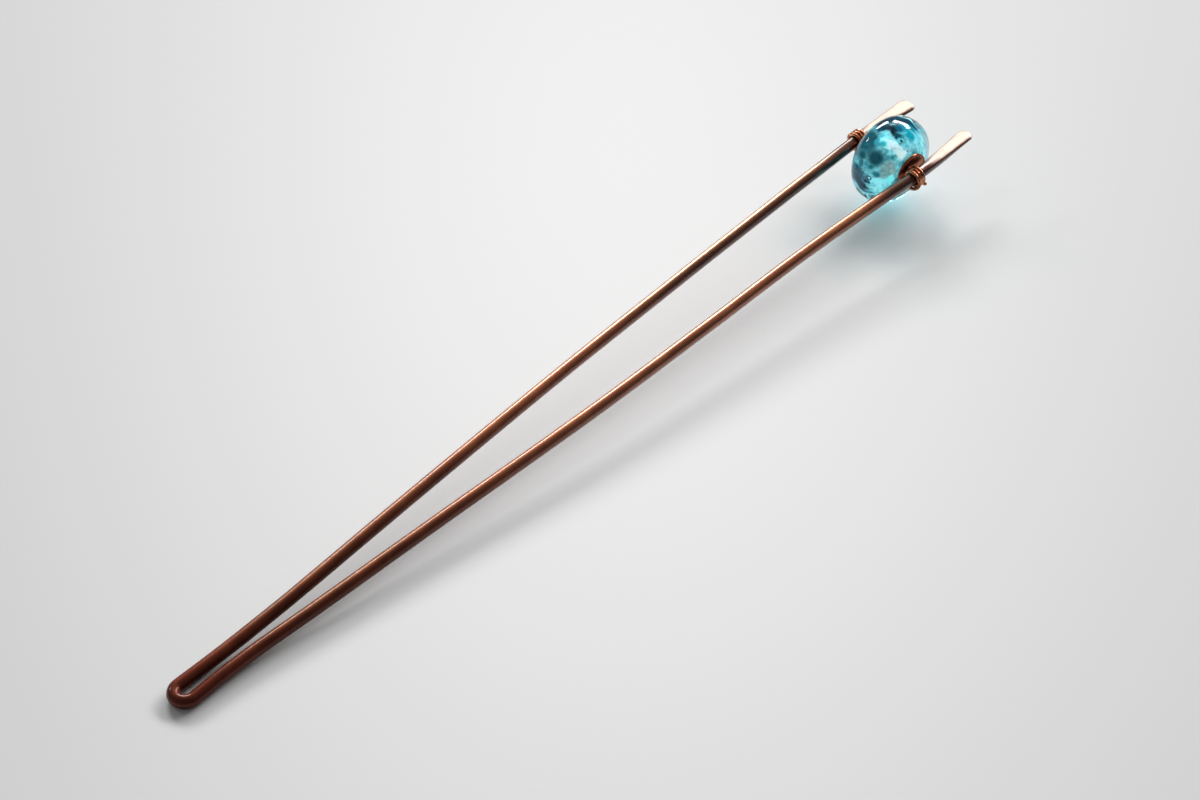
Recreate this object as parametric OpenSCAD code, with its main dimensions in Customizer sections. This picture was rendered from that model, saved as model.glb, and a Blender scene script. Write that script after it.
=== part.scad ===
// Wire hair fork. One length of round copper wire is folded into two long prongs, which drift apart
// towards the head and end in hammered paddles. A glass bead sits between the prongs near the head,
// with a domed copper cap on each face, and a thin wire through its hole is wound round both prongs.
// Lengths are in millimetres, and the fork lies as it rests: on the fold and on the bead.

/* [Fork wire] */
// Diameter of the round wire
wire_d = 2.05; // [1.9:0.05:2.1]
// Distance along the fork from the fold to the end of the front prong
fork_len = 167.4; // [166:0.2:172]
// How much further the back prong reaches
back_extra = 0.1; // [0:0.1:1]
// Radius of the fold, measured to the middle of the wire
fold_r = 1.65; // [1.5:0.05:1.9]

/* [Hammered paddles] */
// Length of the hammered end, from the round wire to the paddle's edge
paddle_len = 13.4; // [12:0.2:13.4]
// Width of the back prong's paddle at its end
back_paddle_w = 3.3; // [2.6:0.05:3.5]
// Width of the front prong's paddle at its end
front_paddle_w = 2.75; // [2.6:0.05:3.5]
// Thickness of a paddle at its end
paddle_h = 0.6; // [0.4:0.05:0.9]
// Radius of a paddle's two corners
paddle_corner = 1.1; // [0.8:0.1:1.2]

/* [Glass bead] */
// Diameter of the bead
bead_d = 15.28; // [14:0.02:15.6]
// Width of the bead along its hole
bead_w = 9.1; // [8.6:0.02:9.1]
// Diameter of the bead's hole
bead_hole_d = 2.6; // [2:0.1:2.8]
// Distance along the fork from the fold to the bead's middle
bead_at = 154.4; // [154:0.1:154.8]
// Height of the prongs' middle plane over the bead's hole
bead_drop = 0.92; // [0.8:0.02:1]
// Angle that the bead's hole is turned from square across the fork
bead_turn = 4.5; // [3.5:0.5:5.5]

/* [Bead caps] */
// Diameter of the cap
cap_d = 6.6; // [6:0.1:6.8]
// Thickness of the cap's domed sheet
cap_t = 0.3; // [0.2:0.02:0.3]
// Diameter of the cap's hole
cap_hole_d = 1.2; // [1.1:0.1:1.6]

/* [Binding wire] */
// Diameter of the thin wire
bind_d = 0.6; // [0.5:0.05:0.6]
// Distance between neighbouring turns
bind_pitch = 0.68; // [0.68:0.01:0.72]

/* [Hidden] */

copper = "#6b3526";
bright_copper = "#b5694a";
teal_glass = [0.2, 0.62, 0.7, 0.6];

// Air between pieces that touch on the real fork
gap = 0.05;

// Each row: distance from the fold, then how far the back prong and the front prong stand from the
// fork's middle. The prongs are bent by hand, so they wave a little and aren't mirror images.
LEGS = [
    [1.65, 1.36, -1.94],
    [6, 1.33, -1.76],
    [12, 1.38, -1.77],
    [16, 1.5, -1.93],
    [23, 1.77, -2.31],
    [45, 3.05, -3.21],
    [78, 4.68, -4.64],
    [104, 5.5, -5.12],
    [115, 5.82, -5.2],
    [124, 6.02, -5.32],
    [136, 6.3, -5.78],
    [145, 6.4, -6.27],
    [154, 6.5, -6.82],
    [168, 5.9, -6.47]
];
BACK = 1;
FRONT = 2;

// The thin wire's way from each cap's hole to the first turn, below the other turns on the front prong.
// Each row: distance along the fork from the first turn, towards the bead from the prong's middle, height.
LEAD_FRONT = [
    [2.2, 1.25, -1.6],
    [1.2, 0.95, -1.9],
    [0.3, 0.6, -1.95],
    [-0.2, 0.3, -1.75]
];
LEAD_BACK = [
    [0.2, 1.25, -1.25],
    [0.25, 0.6, -1.55]
];
// Distance from the fold to the first turn on each prong
first_turn_front = 151.6;
first_turn_back = 154.9;
// How far the turns hang away from the prong on their outer, lower side
turn_slack = 0.2;
slack_angle = 150;
// How far the first half turn hangs away: it is a loose loop on the front prong
first_slack_front = 0.42;
first_slack_back = 0.12;
tight_from = 170;
tight_by = 240;
// The turns run from under the prong, three times round, and the cut end stands off
turn_start = 110;
turn_end = 1220;
turn_step = 22.2;
tail_lift = 0.6;
tail_angle = 50;

bead_r = bead_d / 2;
bead_hole_r = bead_hole_d / 2;
cap_r = cap_d / 2;
cap_hole_r = cap_hole_d / 2;
// Fullness of the bead's profile: 2 would be an ellipse, and higher is squarer
bead_fullness = 2.4;
bead_steps = 22;
// The glass dips towards the hole inside this radius
dip_r = 3.4;
dip_depth = 0.7;

// The fork leans up from the fold to the prongs beside the bead, and both stand on the surface
bead_mid_y = -0.22;
tilt = asin((bead_r + bead_drop - wire_d / 2) / bead_at);
middle_x = ((fork_len + back_extra) * cos(tilt) - wire_d / 2) / 2;

// The cap's rim is a rolled bead of copper that sits just clear of the glass
rim_r = 0.23;
rim_mid_r = cap_r - rim_r;
rim_mid_z = bead_face(rim_mid_r) + rim_r + gap;
dome_rise = 0.17;
// The front cap sits this far off the hole's middle, towards the paddles
cap_shift = 0.1;

// Sides of the round wires
wire_sides = 20;
bind_sides = 8;
// Turns drawn with flat sides need a little more air
turn_air = 1.6 * gap;
turn_r = wire_d / 2 + bind_d / 2 + turn_air;
// Distances from the bead's middle to points of the thin wire inside the hole and at the cap
HOLE_STOPS = [0.01, 1.5, 3, 4.2, 4.85];

// Half the bead's width at radius r: a squared ellipse that dips towards the hole
function bead_face(r) =
    let(full = bead_w / 2 * pow(1 - pow(r / bead_r, bead_fullness), 1 / bead_fullness))
    let(dip = r < dip_r ? dip_depth * pow(1 - pow(r / dip_r, 2), 2) : 0)
    full - dip;

// Smooth curve through column c of a table, as a cubic between rows
function row_under(t, u, i = 0) = i >= len(t) - 2 || t[i + 1][0] >= u ? i : row_under(t, u, i + 1);
function row_slope(t, i, c) =
    i == 0 ? 0 :
    let(j = min(i + 1, len(t) - 1))
    (t[j][c] - t[i - 1][c]) / (t[j][0] - t[i - 1][0]);
function curve(t, u, c) =
    let(i = row_under(t, u))
    let(a = t[i], b = t[i + 1], h = b[0] - a[0], k = (u - a[0]) / h)
    (2 * k * k * k - 3 * k * k + 1) * a[c] + (3 * k * k - 2 * k * k * k) * b[c]
        + (k * k * k - 2 * k * k + k) * h * row_slope(t, i, c)
        + (k * k * k - k * k) * h * row_slope(t, i + 1, c);
function leg_y(u, side) = curve(LEGS, u, side);
// The leg's heading at u, from two places a short way on each side of it
heading_reach = 0.1;
function leg_heading(u, side) =
    atan((leg_y(u + heading_reach, side) - leg_y(u - heading_reach, side)) / (2 * heading_reach));

// Closed skin over rings of points, wound so that it faces outwards
function skin_faces(rings, sides) = concat(
    [[for (j = [0:sides - 1]) j]],
    [for (i = [0:rings - 2], j = [0:sides - 1])
        let(a = i * sides + j, b = i * sides + (j + 1) % sides)
        [a, a + sides, b + sides, b]],
    [[for (j = [sides - 1:-1:0]) (rings - 1) * sides + j]]
);
module skin(rings) {
    sides = len(rings[0]);
    polyhedron(points = [for (r = rings) each r], faces = skin_faces(len(rings), sides), convexity = 8);
}

// A station of the fork wire: [x, y, heading, width, height, squareness, lift]
function squared(v, e) = sign(v) * pow(abs(v), 2 / e);
function wire_ring(s) = [
    for (j = [0:wire_sides - 1])
        let(a = 360 * (j + 0.5) / wire_sides)
        let(across = s[3] / 2 * squared(cos(a), s[5]), up = s[4] / 2 * squared(sin(a), s[5]))
        [s[0] - across * sin(s[2]), s[1] + across * cos(s[2]), s[6] + up]
];

// The hammered end: the wire widens and thins steadily, and its corners are rounded
paddle_squareness = 3.2;
paddle_lift = 0.15;
widening = 1.4;
thinning = 0.7;
function leg_end(side) = side == BACK ? fork_len + back_extra : fork_len;
function paddle_w(side) = side == BACK ? back_paddle_w : front_paddle_w;
function corner_cut(d) =
    d >= paddle_corner ? 0 : paddle_corner - sqrt(max(0, 1 - pow(1 - d / paddle_corner, 2))) * paddle_corner;
// Width, height, squareness and lift of the wire at one place
function paddle_section(u, side) =
    let(k = max(0, 1 - (leg_end(side) - u) / paddle_len))
    [
        wire_d + (paddle_w(side) - wire_d) * pow(k, widening) - 2 * corner_cut(leg_end(side) - u),
        wire_d + (paddle_h - wire_d) * pow(k, thinning),
        2 + (paddle_squareness - 2) * min(1, 3 * k),
        paddle_lift * k
    ];
function leg_station(u, side, way) =
    concat([u, leg_y(u, side), leg_heading(u, side) + way], paddle_section(u, side));

// Stations along a leg from the fold outwards: close together at the fold and the paddle's corners
near_step = 3.1;
near_from = fold_r + 0.9;
near_to = 21;
far_step = 5;
far_from = 24;
paddle_steps = 9;
corner_step = 18;
function leg_stops(side) =
    let(end = leg_end(side), start = end - paddle_len)
    concat(
        [for (u = [near_from:near_step:near_to]) u],
        [for (u = [far_from:far_step:start - 2]) u],
        [for (k = [0:paddle_steps]) start + k * (paddle_len - paddle_corner) / paddle_steps],
        [for (a = [corner_step:corner_step:80]) end - paddle_corner * (1 - sin(a))]
    );
back_stops = leg_stops(BACK);
front_stops = leg_stops(FRONT);
fold_mid_y = (LEGS[0][BACK] + LEGS[0][FRONT]) / 2;
fold_half = (LEGS[0][BACK] - LEGS[0][FRONT]) / 2;
fold_stations = [
    for (a = [0:15:180])
        [fold_r - fold_r * sin(a), fold_mid_y + fold_half * cos(a), 180 + a, wire_d, wire_d, 2, 0]
];
fork_stations = concat(
    [for (i = [len(back_stops) - 1:-1:0]) leg_station(back_stops[i], BACK, 180)],
    fold_stations,
    [for (u = front_stops) leg_station(u, FRONT, 360)]
);

// From the fork's own plane to where it lies
module lying() {
    translate([-middle_x, 0, wire_d / 2]) rotate([0, -tilt, 0]) children();
}
// Along the bead's hole, with +Z towards the back prong
module on_bead() {
    lying() translate([bead_at, bead_mid_y, -bead_drop])
        rotate([0, 0, -bead_turn]) rotate([-90, 0, 0]) children();
}

module prong_wire() {
    color(copper) lying() skin([for (s = fork_stations) wire_ring(s)]);
}

module glass_bead() {
    // The profile runs round the outside from one mouth of the hole to the other
    mouth = acos(pow(bead_hole_r / bead_r, bead_fullness / 2));
    profile = [
        for (i = [-bead_steps:bead_steps])
            let(a = mouth * i / bead_steps)
            let(r = bead_r * pow(cos(a), 2 / bead_fullness))
            [r, sign(i) * bead_face(min(r, bead_r - 0.0001))]
    ];
    color(teal_glass) on_bead() rotate_extrude($fn = 96) polygon(profile);
}

module bead_cap() {
    // The domed sheet runs out into the rolled rim, which curls down and under it
    dome_steps = 10;
    sheet_top = 0.4 * rim_r;
    rim_from = 155;
    rim_to = -115;
    dome = function(end) [
        for (i = [0:dome_steps])
            let(r = cap_hole_r + (end - cap_hole_r) * i / dome_steps)
            [r, rim_mid_z + sheet_top + dome_rise * (1 - pow(r / rim_mid_r, 2))]
    ];
    above = dome(rim_mid_r + rim_r * cos(rim_from));
    below = dome(rim_mid_r + rim_r * cos(rim_to));
    rim = [
        for (a = [rim_from - 15:-15:rim_to + 15])
            [rim_mid_r + rim_r * cos(a), rim_mid_z + rim_r * sin(a)]
    ];
    under = [for (i = [dome_steps:-1:0]) [below[i][0], below[i][1] - cap_t]];
    color(bright_copper) rotate_extrude($fn = 64) polygon(concat(above, rim, under));
}
module bead_cap_front() {
    on_bead() translate([cap_shift, 0, 0]) mirror([0, 0, 1]) bead_cap();
}
module bead_cap_back() {
    on_bead() bead_cap();
}

// A point round a prong: angle 0 faces the bead, 90 is underneath, 180 is the outer side and 270 is on top
function inward(side) = side == BACK ? -1 : 1;
// The turns run towards the paddle on the front prong and towards the fold on the back one
function turns_way(side) = side == BACK ? -1 : 1;
function round_prong(side, u, angle, r) =
    [u, leg_y(u, side) + inward(side) * r * cos(angle), -r * sin(angle)];
function first_slack(side, a) =
    (side == BACK ? first_slack_back : first_slack_front)
    * max(0, min(1, (tight_by - a) / (tight_by - tight_from)));
function turn_point(side, first, a) =
    let(near_end = max(0, a - turn_end + tail_angle) / tail_angle)
    let(slack = max(first_slack(side, a), turn_slack * pow(max(0, cos(a - slack_angle)), 1.5)))
    let(r = turn_r + slack + tail_lift * near_end * near_end)
    round_prong(side, first + turns_way(side) * bind_pitch * (a - 180) / 360, a, r);

// Half of the thin wire: along the hole, under one prong, and round it
function half_route(side, first, lead) =
    let(s = -inward(side))
    let(hole = function(d) [bead_at + s * d * sin(bead_turn), bead_mid_y + s * d * cos(bead_turn), -bead_drop])
    let(mid_y = leg_y(first, side))
    concat(
        [for (d = HOLE_STOPS) hole(d)],
        [for (p = lead) [first + p[0], mid_y + inward(side) * p[1], p[2]]],
        [for (a = [turn_start:turn_step:turn_end]) turn_point(side, first, a)]
    );
front_route = half_route(FRONT, first_turn_front, LEAD_FRONT);
back_route = half_route(BACK, first_turn_back, LEAD_BACK);
bind_route = concat(
    [for (i = [len(front_route) - 1:-1:0]) front_route[i]],
    back_route
);

// A round wire along a route of points
function unit(v) = v / norm(v);
function tangent(p, i) = unit(p[min(len(p) - 1, i + 1)] - p[max(0, i - 1)]);
// The side direction is carried from point to point without twist
function carried_sides(p) = [
    for (i = 0, s = unit(cross(tangent(p, 0), [0.3, 0.2, 1])); i < len(p);
        i = i + 1, s = i < len(p) ? unit(s - (s * tangent(p, i)) * tangent(p, i)) : s) s
];
module round_sweep(p, d, sides) {
    side = carried_sides(p);
    skin([
        for (i = [0:len(p) - 1])
            let(v = cross(tangent(p, i), side[i]))
            [for (j = [0:sides - 1]) p[i] + d / 2 * (cos(360 * j / sides) * side[i] + sin(360 * j / sides) * v)]
    ]);
}
module binding_wire() {
    color(bright_copper) lying() round_sweep(bind_route, bind_d, bind_sides);
}

prong_wire();
glass_bead();
bead_cap_front();
bead_cap_back();
binding_wire();
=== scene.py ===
import math

import bpy
import numpy as np
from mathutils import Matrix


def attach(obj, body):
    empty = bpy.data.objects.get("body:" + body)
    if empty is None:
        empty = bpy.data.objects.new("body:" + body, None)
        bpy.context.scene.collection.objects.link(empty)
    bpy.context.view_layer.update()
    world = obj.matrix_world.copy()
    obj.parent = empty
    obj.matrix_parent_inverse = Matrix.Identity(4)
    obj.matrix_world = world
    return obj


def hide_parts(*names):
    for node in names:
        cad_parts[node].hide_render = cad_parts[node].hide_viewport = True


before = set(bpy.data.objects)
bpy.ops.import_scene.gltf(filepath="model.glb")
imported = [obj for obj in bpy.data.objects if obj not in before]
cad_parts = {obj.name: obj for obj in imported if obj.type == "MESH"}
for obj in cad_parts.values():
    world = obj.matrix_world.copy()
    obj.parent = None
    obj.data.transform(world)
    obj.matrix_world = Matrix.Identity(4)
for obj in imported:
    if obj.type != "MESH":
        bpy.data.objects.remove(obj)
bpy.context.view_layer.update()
print("frame loaded:", sorted(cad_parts))

mm = 0.001
seed = 7


# small helpers


def linearColour(code):
    # sRGB hex to linear: a straight line below 0.04045 and the 2.4 power above it
    c = np.array([int(code[i : i + 2], 16) for i in (1, 3, 5)]) / 255
    return (*np.where(c <= 0.04045, c / 12.92, ((c + 0.055) / 1.055) ** 2.4).tolist(), 1.0)


def addNode(tree, kind, inputs=None, stops=(), **settings):
    # one node: settings are its properties, inputs are socket values, or output sockets to link from,
    # and stops are the (position, hex colour) pairs of a ramp, in order
    node = tree.nodes.new(kind)
    for name, value in settings.items():
        setattr(node, name, value)
    for socket, value in (inputs or {}).items():
        if isinstance(value, bpy.types.NodeSocket):
            tree.links.new(value, node.inputs[socket])
        else:
            node.inputs[socket].default_value = value
    if stops:
        elements = node.color_ramp.elements
        while len(elements) < len(stops):
            elements.new(0.5)
        for element, (position, code) in zip(elements, stops):
            element.position = position
            element.color = linearColour(code)
    return node


def newMaterial(name, surface):
    # an empty material whose Principled shader has its constant values set on its own sockets
    material = bpy.data.materials.new(name)
    material.use_nodes = True
    tree = material.node_tree
    tree.nodes.clear()
    shader = addNode(tree, "ShaderNodeBsdfPrincipled", surface)
    addNode(tree, "ShaderNodeOutputMaterial", {"Surface": shader.outputs[0]})
    return material, tree, shader


def makePiece(name, points, faces, material, nodes=(), slot=None, attributes=None, sharp=None):
    # points in metres; faces is a list of rings of point numbers; attributes hold one value per point;
    # edges sharper than sharp degrees stay crisp; a piece with nodes=None is no part of the fork
    mesh = bpy.data.meshes.new(name)
    mesh.from_pydata(points.tolist(), [], faces)
    for label, values in (attributes or {}).items():
        kind = "FLOAT_VECTOR" if values.ndim == 2 else "FLOAT"
        layer = mesh.attributes.new(label, kind, "POINT")
        layer.data.foreach_set("vector" if values.ndim == 2 else "value", values.astype(np.float32).ravel())
    mesh.shade_smooth()
    if sharp:
        mesh.set_sharp_from_angle(angle=math.radians(sharp))
    mesh.materials.append(material)
    mesh.update()
    piece = bpy.data.objects.new(name, mesh)
    bpy.context.scene.collection.objects.link(piece)
    if nodes is not None:
        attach(piece, "root")
        for node in nodes:
            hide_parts(node)
    print(name, len(mesh.vertices), "vertices")
    return piece


def tubeFaces(rings, sides):
    # quads of a tube whose rings follow each other, with one face to close each end
    i, j = np.meshgrid(np.arange(rings - 1), np.arange(sides), indexing="ij")
    a, b = i * sides + j, i * sides + (j + 1) % sides
    quads = np.stack([a, b, b + sides, a + sides], -1).reshape(-1, 4)
    firstEnd = list(range(sides))[::-1]
    lastEnd = list(range((rings - 1) * sides, rings * sides))
    return quads.tolist() + [firstEnd, lastEnd]


def ringFaces(stops, sides):
    # quads of a turned form whose profile closes on itself: stops round the profile, sides round the axis
    i, j = np.meshgrid(np.arange(stops), np.arange(sides), indexing="ij")
    nextI, nextJ = (i + 1) % stops, (j + 1) % sides
    a, b = i * sides + j, i * sides + nextJ
    c, d = nextI * sides + nextJ, nextI * sides + j
    return np.stack([a, b, c, d], -1).reshape(-1, 4)


def smoothStep(x, low, high):
    # 0 below low, 1 above high, and between them three squares less two cubes of the way across
    k = np.clip((x - low) / (high - low), 0, 1)
    return k * k * (3 - 2 * k)


def ripple(x, y, scale, seedNumber, count=5):
    # soft unevenness from -1 to 1: the mean of a few sine waves with seeded directions and phases, each
    # from 0.7 to 1.6 times scale long
    rng = np.random.default_rng(seedNumber)
    total = np.zeros(np.broadcast(x, y).shape)
    for k in range(count):
        angle, phase = rng.uniform(0, 2 * np.pi, 2)
        length = scale * rng.uniform(0.7, 1.6)
        total = total + np.sin(2 * np.pi * (x * np.cos(angle) + y * np.sin(angle)) / length + phase)
    return total / count


# the fork's own lines, in millimetres, as in the part's source

fork = {
    "wire": 2.05,
    "frontLength": 167.4,
    "backLength": 167.5,
    "foldRadius": 1.65,
    "beadAt": 154.4,  # from the fold
    "beadMidY": -0.22,
    "beadDrop": 0.92,  # below the wire's middle
    "beadTurn": 4.5,  # degrees that its hole stands off square
    "beadRadius": 7.64,
}
# distance from the fold, then where the back and the front prong stand
legRows = np.array([
    [1.65, 1.36, -1.94], [6, 1.33, -1.76], [12, 1.38, -1.77], [16, 1.5, -1.93], [23, 1.77, -2.31],
    [45, 3.05, -3.21], [78, 4.68, -4.64], [104, 5.5, -5.12], [115, 5.82, -5.2], [124, 6.02, -5.32],
    [136, 6.3, -5.78], [145, 6.4, -6.27], [154, 6.5, -6.82], [168, 5.9, -6.47],
])
backSide, frontSide = 1, 2
tilt = math.asin((fork["beadRadius"] + fork["beadDrop"] - fork["wire"] / 2) / fork["beadAt"])
middleX = (fork["backLength"] * math.cos(tilt) - fork["wire"] / 2) / 2


def legY(u, side):
    # cubic between rows: each row's slope runs from the row before to the row after
    at, y = legRows[:, 0], legRows[:, side]
    order = np.arange(len(at))
    before, after = np.maximum(order - 1, 0), np.minimum(order + 1, len(at) - 1)
    slope = (y[after] - y[before]) / (at[after] - at[before])
    slope[0] = 0
    i = np.clip(np.searchsorted(at, u) - 1, 0, len(at) - 2)
    h = at[i + 1] - at[i]
    k = (u - at[i]) / h
    return (
        (2 * k**3 - 3 * k**2 + 1) * y[i]
        + (3 * k**2 - 2 * k**3) * y[i + 1]
        + (k**3 - 2 * k**2 + k) * h * slope[i]
        + (k**3 - k**2) * h * slope[i + 1]
    )


def layDown(points):
    # from the fork's own plane to where it lies, leaning up to the bead, and millimetres to metres
    x, y, z = points[..., 0], points[..., 1], points[..., 2]
    lain = np.stack([
        x * math.cos(tilt) - z * math.sin(tilt) - middleX,
        y,
        x * math.sin(tilt) + z * math.cos(tilt) + fork["wire"] / 2,
    ], -1)
    return lain * mm


def onBead(x, y, along):
    # along the bead's hole: +along is towards the back prong
    turn = math.radians(fork["beadTurn"])
    place = np.stack([
        fork["beadAt"] + x * math.cos(turn) + along * math.sin(turn),
        fork["beadMidY"] - x * math.sin(turn) + along * math.cos(turn),
        -fork["beadDrop"] - y,
    ], -1)
    return layDown(place)


# camera, at the photograph's angle

camera = {
    "place": (-0.19833, -0.1869, 0.2486),
    "yaw": 43.243,  # from +X towards +Y
    "pitch": 42.35,  # below the horizon
    "lens": 72,
    "sensor": 36,
    "nearest": 0.01,
}
cameraData = bpy.data.cameras.new("forkCamera")
cameraData.lens = camera["lens"]
cameraData.sensor_width = camera["sensor"]
cameraData.clip_start = camera["nearest"]
cameraObject = bpy.data.objects.new("forkCamera", cameraData)
cameraObject.location = camera["place"]
cameraObject.rotation_euler = (
    math.radians(90 - camera["pitch"]),
    0,
    math.radians(camera["yaw"] - 90),
)
bpy.context.scene.collection.objects.link(cameraObject)
bpy.context.scene.camera = cameraObject


# plain soft studio light

lights = {
    # direction from the middle of the fork: azimuth from +X towards +Y, elevation; sizes in metres
    "softboxes": {
        "leftBox": {"azimuth": 57, "elevation": 31, "size": (0.61, 0.34), "radiance": 19.5},
        "rightBox": {"azimuth": 6, "elevation": 34, "size": (1.34, 0.32), "radiance": 14.5},
        "smallBox": {"azimuth": 97, "elevation": 25, "size": (0.16, 0.13), "radiance": 25.0},
    },
    "distance": 1.5,
    "sky": 0.14,
    # soft glows on top of the sky: direction, strength, and the power that they fade with
    "wallGlow": {"azimuth": 38, "elevation": 43, "strength": 0.8, "power": 36.0},
    "leftGlow": {"azimuth": 140, "elevation": 40, "strength": 0.12, "power": 3.0},
}


def towards(azimuth, elevation):
    # the unit direction at two angles in degrees: cosines and sines of the one, scaled by the other's cosine
    azimuth, elevation = math.radians(azimuth), math.radians(elevation)
    return np.array([
        math.cos(azimuth) * math.cos(elevation),
        math.sin(azimuth) * math.cos(elevation),
        math.sin(elevation),
    ])


def addSoftbox(name, light):
    # a flat panel that faces the fork; its power is the radiance times pi times its area
    data = bpy.data.lights.new(name, "AREA")
    data.shape = "RECTANGLE"
    data.size, data.size_y = light["size"]
    data.energy = light["radiance"] * math.pi * data.size * data.size_y
    softbox = bpy.data.objects.new(name, data)
    softbox.location = towards(light["azimuth"], light["elevation"]) * lights["distance"]
    softbox.rotation_euler = (
        math.radians(90 - light["elevation"]),
        0,
        math.radians(light["azimuth"] + 90),
    )
    bpy.context.scene.collection.objects.link(softbox)


def makeRoom():
    # an even dim sky, and soft glows that fade with a power of the cosine from their direction
    world = bpy.data.worlds.new("studio")
    world.use_nodes = True
    tree = world.node_tree
    tree.nodes.clear()
    direction = addNode(tree, "ShaderNodeTexCoord").outputs["Generated"]
    strength = lights["sky"]
    for glow in (lights["wallGlow"], lights["leftGlow"]):
        middle = tuple(towards(glow["azimuth"], glow["elevation"]))
        nearness = addNode(tree, "ShaderNodeVectorMath", {
            0: direction, 1: middle,
        }, operation="DOT_PRODUCT").outputs["Value"]
        ahead = addNode(tree, "ShaderNodeMath", {0: nearness, 1: 0.0}, operation="MAXIMUM").outputs[0]
        fade = addNode(tree, "ShaderNodeMath", {0: ahead, 1: glow["power"]}, operation="POWER").outputs[0]
        strength = addNode(tree, "ShaderNodeMath", {
            0: fade, 1: glow["strength"], 2: strength,
        }, operation="MULTIPLY_ADD").outputs[0]
    background = addNode(tree, "ShaderNodeBackground", {"Strength": strength, "Color": (1, 1, 1, 1)})
    addNode(tree, "ShaderNodeOutputWorld", {"Surface": background.outputs[0]})
    bpy.context.scene.world = world


for name, light in lights["softboxes"].items():
    addSoftbox(name, light)
makeRoom()
bpy.context.scene.view_settings.view_transform = "Standard"
print("camera and lights placed")


# floor: uncoated white card, pale and dull; its colour is painted darker away from the lit middle, a painted
# shade round a pool of light

card = {
    "colour": "#f2f2f2",
    "size": 4.0,
    "middle": (0.002, 0.002),
    "turn": 43.0,  # of the pool's long way, from +X towards +Y
    "pool": (0.3, 0.15),  # metres from the middle, along and across, where it has begun to fade
    "shade": 0.55,  # what is left of its colour far away
}


def makeCard():
    # colour times shade + (1 - shade) / (1 + d / (1 - shade)), where d is the squared distance from the
    # middle in pools: a painted shade that darkens the card away from its middle
    material, tree, shader = newMaterial("matteCard", {"Roughness": 0.95})
    place = addNode(tree, "ShaderNodeTexCoord").outputs["Object"]
    pool = addNode(tree, "ShaderNodeMapping", {
        "Vector": place,
        "Location": (*card["middle"], 0),
        "Rotation": (0, 0, math.radians(card["turn"])),
        "Scale": (*card["pool"], 1),
    }, vector_type="TEXTURE").outputs[0]
    away = addNode(tree, "ShaderNodeVectorMath", {0: pool, 1: pool}, operation="DOT_PRODUCT").outputs["Value"]
    away = addNode(tree, "ShaderNodeMath", {
        0: away, 1: 1 / (1 - card["shade"]), 2: 1.0,
    }, operation="MULTIPLY_ADD").outputs[0]
    lit = addNode(tree, "ShaderNodeMath", {0: 1.0, 1: away}, operation="DIVIDE").outputs[0]
    lit = addNode(tree, "ShaderNodeMath", {
        0: lit, 1: 1 - card["shade"], 2: card["shade"],
    }, operation="MULTIPLY_ADD").outputs[0]
    colour = addNode(tree, "ShaderNodeVectorMath", {
        0: linearColour(card["colour"])[:3], "Scale": lit,
    }, operation="SCALE").outputs[0]
    tree.links.new(colour, shader.inputs["Base Color"])
    corners = np.array([[-1, -1, 0], [1, -1, 0], [1, 1, 0], [-1, 1, 0]]) * card["size"] / 2
    return makePiece("floor", corners, [[0, 1, 2, 3]], material, nodes=None)


floor = makeCard()


# materials

# Drawn copper wire, darkened in liver of sulphur and rubbed back: dark red-brown with brighter copper
# towards the hammered ends, a soft shine, and fine lines along it from the draw plate. Shade is painted
# darker on its near side, underneath, by the bead and along the paddles' edges.
forkWireLook = {
    "patchSize": 5.0,  # millimetres between patches of thicker and thinner oxide
    "lineSpacing": 0.12,  # draw lines, coarser than the real ones, so that they show
    "lineLength": 9.0,
    "grainSize": 0.6,
    "darkColours": [(0.3, "#4c1c10"), (0.5, "#5c2616"), (0.7, "#6c321e")],
    "wornColours": [(0.3, "#8c4a2c"), (0.5, "#9e5836"), (0.7, "#b06a44")],
    "brightColours": [(0.3, "#94827a"), (0.6, "#a08e80"), (0.75, "#ac9a8a")],
    "goldenColour": "#bc8e60",
    # the dark colour of the painted shade
    "paintedShadeColour": "#301810",
    "worn": (-68, 12),  # from dark to worn between these places, in mm from the fork's middle
    "dullness": (0.3, 0.36),  # roughness from grain to grain
    "brightDullness": 0.38,
    "unrubbed": (-30, 25, 0.22),  # duller by this on the fold's side of these places
    "oxide": (-60, 20, 0.28),  # the glassy oxide is this thin on the fold's side of these places
    "lineBump": 0.2,
    "grainBump": 0.04,
    "bumpHeight": 0.006,
}


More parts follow.
